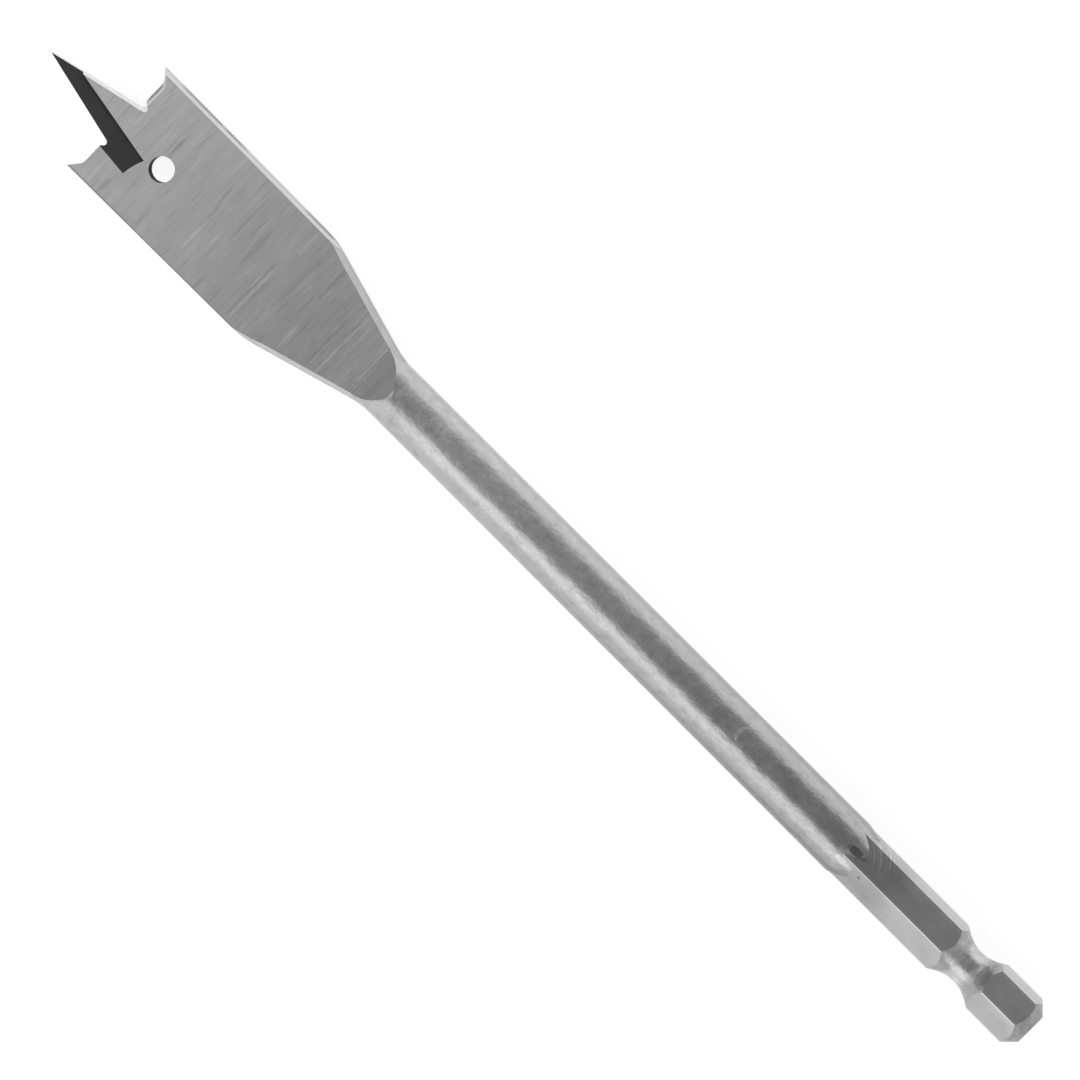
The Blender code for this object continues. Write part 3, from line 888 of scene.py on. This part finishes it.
def end_outline():
    """(x, y) of the metal's edge on one half's leading face: point, root, cutting edge and spur."""
    slope = math.tan(POINT_HALF_ANGLE)
    tip_y = HALF_THICKNESS * math.tan(FLANK_RELIEF_ANGLE)
    centre_x = EDGE_X - ROOT_DEPTH + ROOT_RADIUS
    centre_y = tip_y + (LENGTH - centre_x) * slope + ROOT_RADIUS / math.cos(POINT_HALF_ANGLE)
    start = math.pi + math.pi / 2 - POINT_HALF_ANGLE
    meets_edge = math.acos((EDGE_X - centre_x) / ROOT_RADIUS)
    root = arc((centre_x, centre_y), ROOT_RADIUS, start, meets_edge, 2 * FILLET_STEPS)
    spur_slope = math.tan(SPUR_SLOPE_ANGLE)
    inner = (EDGE_X, centre_y)
    foot = (EDGE_X, HALF_WIDTH - SPUR_HEIGHT / spur_slope)
    outer = (EDGE_X + SPUR_HEIGHT + OVERRUN * spur_slope, HALF_WIDTH + OVERRUN)
    before_tip = (LENGTH + 2 * OVERRUN, tip_y - 2 * OVERRUN * slope)
    return [before_tip, *root, *filleted(inner, foot, outer, SPUR_FILLET, FILLET_STEPS), outer]


def end_cut(name):
    """The wheel that grinds one half's flank, root, cutting edge and spur, at a slant for relief."""
    sink = math.tan(SHOULDER_RELIEF_ANGLE)
    inward = math.tan(FLANK_RELIEF_ANGLE) - math.tan(POINT_HALF_ANGLE) * sink
    edge = end_outline()
    out = HALF_WIDTH + FORGING_ALLOWANCE + 2 * OVERRUN
    outline = edge + [(edge[-1][0], out), (LENGTH + 2 * OVERRUN, out)]
    sections = []
    for z in (HALF_THICKNESS + OVERRUN, -HALF_THICKNESS - OVERRUN):
        depth = HALF_THICKNESS - z
        sections.append([(x - depth * sink, y - depth * inward, z) for x, y in outline])
    return lofted(name, sections, "end")


def gash_cut(name):
    """The gash: its floor starts at the rim and falls towards the inner wall at the rake angle."""
    wall_x = LENGTH - GASH_WALL_CROSSING
    rake = math.tan(GASH_RAKE_ANGLE)
    front_x = LENGTH + OVERRUN
    end_x = EDGE_X - GASH_END

    def on_wall(x):
        return Vector((x, (wall_x - x) * math.tan(GASH_WALL_ANGLE)))

    def on_rim(x):
        return Vector((x, GASH_RIM_OFFSET + (EDGE_X - x) * math.tan(GASH_RIM_ANGLE)))

    outside = Vector((0.0, OVERRUN))
    start = on_wall(end_x - GASH_END_SLANT)
    stop = on_rim(end_x) + outside
    outline = [on_wall(front_x)]
    for i in range(FILLET_STEPS + 1):
        share = i / FILLET_STEPS
        bow = Vector((4.0 * GASH_END_BOW * share * (1.0 - share), 0.0))
        outline.append(start.lerp(stop, share) + bow)
    outline.append(on_rim(front_x) + outside)
    top = [(x, y, HALF_THICKNESS + 2 * OVERRUN * rake) for x, y in outline]
    floor = [(x, y, HALF_THICKNESS - (on_rim(x).y - y) * rake) for x, y in outline]
    return lofted(name, [top, floor], "gash")


def hole_cut():
    """The drill of the blade's hole."""
    reach = HALF_THICKNESS + OVERRUN
    circle = arc((HOLE_X, HOLE_OFFSET), HOLE_RADIUS, 0.0, math.tau, HOLE_STEPS)[:-1]
    return lofted("hole_cut", [[(x, y, z) for x, y in circle] for z in (-reach, reach)], "hole")


def on_hexagon(point):
    """The outward normal of the hexagon at a point, with rounded corners and flats a little crowned."""
    turn = math.atan2(-point.y, point.z) - HEX_TURN
    flat_turn = round(turn / (math.pi / 3)) * math.pi / 3
    reach = math.hypot(point.y, point.z)
    across = reach * math.sin(turn - flat_turn)
    half_flat = (FLAT_RADIUS - HEX_CORNER_RADIUS) * math.tan(math.pi / 6)
    lean = FLAT_CROWN * across / half_flat
    if abs(across) > half_flat:
        over = min((abs(across) - half_flat) / HEX_CORNER_RADIUS, math.sin(math.pi / 6))
        lean = math.copysign(max(math.asin(over), FLAT_CROWN), across)
    angle = HEX_TURN + flat_turn + lean
    return Vector((0.0, -math.sin(angle), math.cos(angle)))


def leaning(point, angle):
    """The normal of a cone round the axis that widens towards the tip."""
    radial = Vector((0.0, point.y, point.z)).normalized()
    return radial * math.cos(angle) - Vector((math.sin(angle), 0.0, 0.0))


def true_normal(finish_name, point, face_normal, face_x):
    """The normal of the surface that a facet stands for."""
    if finish_name == "rod":
        return leaning(point, HEX_RUNOUT_ANGLE if face_x < HEX_LENGTH else 0.0)
    if finish_name == "hex" and abs(face_normal.x) < FACING:
        return on_hexagon(point)
    if finish_name == "turned":
        radial = Vector((0.0, point.y, point.z)).normalized()
        centre = Vector((GROOVE_FROM_END, 0.0, 0.0)) + radial * (NECK_RADIUS + GROOVE_ARC_RADIUS)
        return (centre - point).normalized()
    if finish_name == "chamfer":
        return leaning(point, END_CHAMFER_ANGLE)
    if finish_name == "hole":
        return Vector((HOLE_X - point.x, HOLE_OFFSET - point.y, 0.0)).normalized()
    if finish_name == "face":
        side = math.copysign(1.0, face_normal.z)
        slope = ramp_slope(point.x) if face_x < RAMP_X - SEAT else 0.0
        return Vector((slope, 0.0, side)).normalized()
    return face_normal


def set_true_normals(mesh):
    """Gives each corner of the mesh the normal of the surface that it stands for."""
    names = {material.name: name for name, material in STEELS.items()}
    normals = []
    for polygon in mesh.polygons:
        finish_name = names[mesh.materials[polygon.material_index].name]
        polygon.use_smooth = True
        for corner in polygon.loop_indices:
            point = mesh.vertices[mesh.loops[corner].vertex_index].co
            normals.append(true_normal(finish_name, point, polygon.normal, polygon.center.x))
    mesh.normals_split_custom_set(normals)


def nick_cut():
    """A shallow crescent that follows the rod's round. It is deepest on its outer side."""
    sections = []
    for i in range(2 * FILLET_STEPS + 1):
        share = i / FILLET_STEPS - 1.0
        turn = NICK_HALF_ANGLE * share
        width = NICK_END_WIDTH + (NICK_WIDTH - NICK_END_WIDTH) * math.cos(share * math.pi / 2)
        section = []
        for side, height in ((-0.5, -SEAT), (0.5, -NICK_DEPTH), (0.5, OVERRUN), (-0.5, OVERRUN)):
            reach = NICK_RADIUS + side * width
            x = NICK_CENTRE.x + reach * math.cos(turn)
            y = NICK_CENTRE.y + reach * math.sin(turn)
            section.append((x, y, math.sqrt(ROD_FRONT_RADIUS ** 2 - y * y) + height))
        sections.append(section)
    return lofted("nick_cut", sections, "nick")


def shoulder_faces(mesh):
    """Gives each cutting shoulder, with its spur, a finish of its own."""
    names = [material.name for material in mesh.materials]
    end, shoulder = names.index(STEELS["end"].name), len(names)
    mesh.materials.append(STEELS["shoulder"])
    for polygon in mesh.polygons:
        if polygon.material_index == end and abs(polygon.center.y) > SHOULDER_FROM_AXIS:
            polygon.material_index = shoulder


def dressed_bit():
    """The whole bit, joined and cut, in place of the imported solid."""
    bit = rod()
    bit.name = "dressed_bit"
    combine(bit, "UNION", blade_blank())
    combine(bit, "UNION", hex_shank())
    for name, cut in (("side_cut", side_cut), ("end_cut", end_cut), ("gash_cut", gash_cut)):
        combine(bit, "DIFFERENCE", cut(name + "_front"))
        combine(bit, "DIFFERENCE", other_half(cut(name + "_back")))
    combine(bit, "DIFFERENCE", hole_cut())
    combine(bit, "DIFFERENCE", nick_cut())
    shoulder_faces(bit.data)
    set_true_normals(bit.data)
    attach(bit, "root")
    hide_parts("spade_bit")


def floor():
    """A plain white floor that keeps the bit's shadow."""
    mesh = bpy.data.meshes.new("floor")
    half = STAGE_SIZE / 2
    corners = ((-half, -half), (half, -half), (half, half), (-half, half))
    mesh.from_pydata([(x, y, FLOOR_Z) for x, y in corners], [], [(0, 1, 2, 3)])
    material = bpy.data.materials.new("floor")
    material.use_nodes = True
    tree = material.node_tree
    tree.nodes.clear()
    path = node(tree, "ShaderNodeLightPath").outputs
    seen = calc(tree, "MAXIMUM", path["Is Camera Ray"], path["Is Transmission Ray"])
    seen = calc(tree, "MAXIMUM", seen, path["Is Glossy Ray"])
    matt = node(tree, "ShaderNodeBsdfDiffuse", {"Color": (FLOOR_TONE, FLOOR_TONE, FLOOR_TONE, 1.0)})
    strength = calc(tree, "MULTIPLY", seen, FLOOR_GLOW)
    glow = node(tree, "ShaderNodeEmission", {"Color": WHITE, "Strength": strength})
    both = node(tree, "ShaderNodeAddShader", {0: matt.outputs[0], 1: glow.outputs[0]})
    node(tree, "ShaderNodeOutputMaterial", {"Surface": both.outputs[0]})
    mesh.materials.append(material)
    obj = bpy.data.objects.new("floor", mesh)
    bpy.context.scene.collection.objects.link(obj)


def world():
    """Soft light all round: dim overhead, a bright panel at +Y, a dimmer one at -Y and a white horizon."""
    sky = bpy.data.worlds.new("studio")
    bpy.context.scene.world = sky
    sky.use_nodes = True
    tree = sky.node_tree
    tree.nodes.clear()
    way = node(tree, "ShaderNodeTexCoord").outputs["Generated"]
    parts = node(tree, "ShaderNodeSeparateXYZ", {0: way}).outputs
    turn = calc(tree, "DEGREES", calc(tree, "ARCTAN2", parts["Y"], parts["Z"]))
    panel = spread(tree, turn, PANEL_START, PANEL_FULL, 0.0, PANEL_LEVEL - OVERHEAD_LEVEL, True)
    low = spread(tree, turn, LOW_START, LOW_FULL, 0.0, LOW_LEVEL - PANEL_LEVEL, True)
    far = spread(tree, turn, FAR_START, FAR_FULL, 0.0, FAR_LEVEL - OVERHEAD_LEVEL, True)
    along = calc(tree, "ABSOLUTE", parts["X"])
    fade = spread(tree, along, SIDE_FULL, SIDE_END, 1.0, SIDE_SHARE, True)
    sides = calc(tree, "MULTIPLY", calc(tree, "ADD", calc(tree, "ADD", panel, low), far), fade)
    overhead = spread(tree, along, ENDS_START, ENDS_FULL, OVERHEAD_LEVEL, ENDS_LEVEL, True)
    light = calc(tree, "ADD", sides, overhead)
    horizon = spread(tree, parts["Z"], HORIZON_FULL, HORIZON_END, 1.0, 0.0, True)
    mixed = node(tree, "ShaderNodeMix", {0: horizon, 2: light, 3: HORIZON_LEVEL})
    lit = node(tree, "ShaderNodeBackground", {"Color": WHITE, "Strength": mixed.outputs[0]})
    node(tree, "ShaderNodeOutputWorld", {"Surface": lit.outputs[0]})


def lamp():
    """The lamp over the bit. Its brightness changes along it: a fall, two rises and a last fade."""
    size = LAMP_HIGH - LAMP_LOW
    data = bpy.data.lights.new("lamp", "AREA")
    data.shape = "RECTANGLE"
    data.size = size.x
    data.size_y = size.y
    data.energy = math.pi * size.x * size.y
    data.use_nodes = True
    tree = data.node_tree
    across = node(tree, "ShaderNodeNewGeometry").outputs["Parametric"]
    share = node(tree, "ShaderNodeSeparateXYZ", {0: across}).outputs["X"]
    x = spread(tree, share, 0.0, 1.0, LAMP_LOW.x, LAMP_HIGH.x)
    rod_start, rod_full, rod_level = LAMP_ROD
    blade_start, blade_full, blade_level = LAMP_BLADE
    shank_full, shank_end, shank_level = LAMP_SHANK
    over_shank = spread(tree, x, shank_full, shank_end, shank_level, 0.0)
    over_rod = calc(tree, "ADD", over_shank, spread(tree, x, rod_start, rod_full, 0.0, rod_level))
    over_blade = spread(tree, x, blade_start, blade_full, 0.0, blade_level - rod_level)
    fade = spread(tree, x, *LAMP_FADE, 1.0, 0.0, True)
    strength = calc(tree, "MULTIPLY", calc(tree, "ADD", over_rod, over_blade), fade)
    tree.links.new(strength, tree.nodes["Emission"].inputs["Strength"])
    obj = bpy.data.objects.new("lamp", data)
    obj.location = (LAMP_LOW + LAMP_HIGH) / 2
    obj.visible_camera = False
    bpy.context.scene.collection.objects.link(obj)


def camera():
    """Looks at the bit as the photograph does: from far off, with a narrow field."""
    to_shank, to_side = math.sin(CAMERA_TO_SHANK), math.sin(CAMERA_TO_SIDE)
    out = Vector((-to_shank, -to_side * math.cos(CAMERA_TO_SHANK), 0.0))
    out.z = math.cos(CAMERA_TO_SIDE) * math.cos(CAMERA_TO_SHANK)
    axis = Vector((1.0, 0.0, 0.0))
    axis = (axis - out * axis.dot(out)).normalized()
    across = axis.cross(out)
    # The bit's axis lies at its angle in the picture, counted from the picture's right
    right = axis * math.cos(AXIS_IN_PICTURE) + across * math.sin(AXIS_IN_PICTURE)
    up = out.cross(right)
    data = bpy.data.cameras.new("camera")
    data.angle = 2.0 * math.atan(HALF_FIELD / CAMERA_DISTANCE)
    data.clip_start = CAMERA_DISTANCE / 20
    data.clip_end = 2 * STAGE_SIZE
    obj = bpy.data.objects.new("camera", data)
    stand = Matrix((right, up, out)).transposed().to_4x4()
    stand.translation = CAMERA_AIM + out * CAMERA_DISTANCE
    obj.matrix_world = stand
    bpy.context.scene.collection.objects.link(obj)
    bpy.context.scene.camera = obj


dressed_bit()
floor()
world()
lamp()
camera()
bpy.context.scene.view_settings.view_transform = "Standard"
